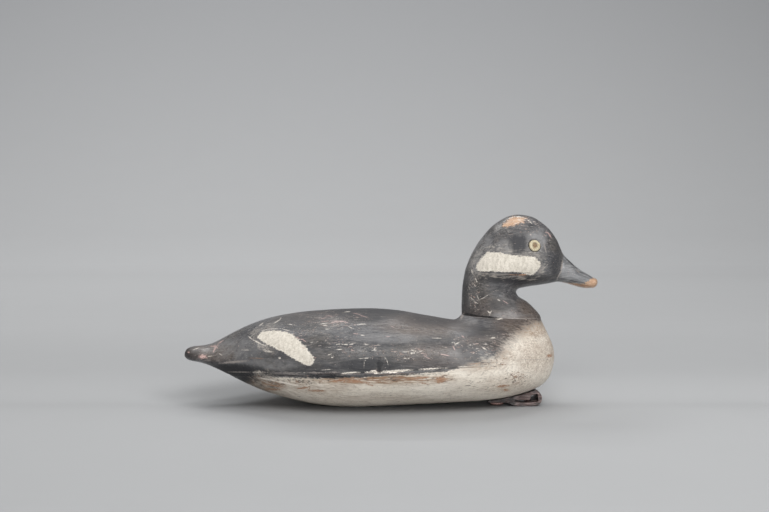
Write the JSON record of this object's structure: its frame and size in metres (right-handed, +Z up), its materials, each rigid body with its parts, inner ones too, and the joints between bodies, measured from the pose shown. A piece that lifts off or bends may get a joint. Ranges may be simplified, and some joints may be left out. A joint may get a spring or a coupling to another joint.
{
  "type": "bufflehead decoy",
  "caption": "Carved wooden bufflehead decoy with a raised round head, short bill, low rounded body, small tail and a folded leather loop for an anchor line.",
  "frame": {"origin": "on the surface it stands on, under the middle of its length from tail tip to bill tip", "axes": "+X towards the bill, +Z up, so +Y is the duck's left"},
  "size_m": [0.28, 0.1202, 0.1292],
  "materials": {
    "black_painted_wood": "worn matt black oil paint on carved wood",
    "white_painted_wood": "weathered off-white oil paint on a sawn board",
    "painted_tack": "cream painted tack head with a worn centre",
    "harness_leather": "old dry dark leather",
    "rusty_tack": "rusty iron"
  },
  "bodies": {
    "root": {"body_upper": "black_painted_wood", "body_lower": "white_painted_wood", "head": "black_painted_wood", "eye_tack_left": "painted_tack", "eye_tack_right": "painted_tack", "line_loop": "harness_leather", "loop_tack": "rusty_tack"}
  },
  "joints": []
}
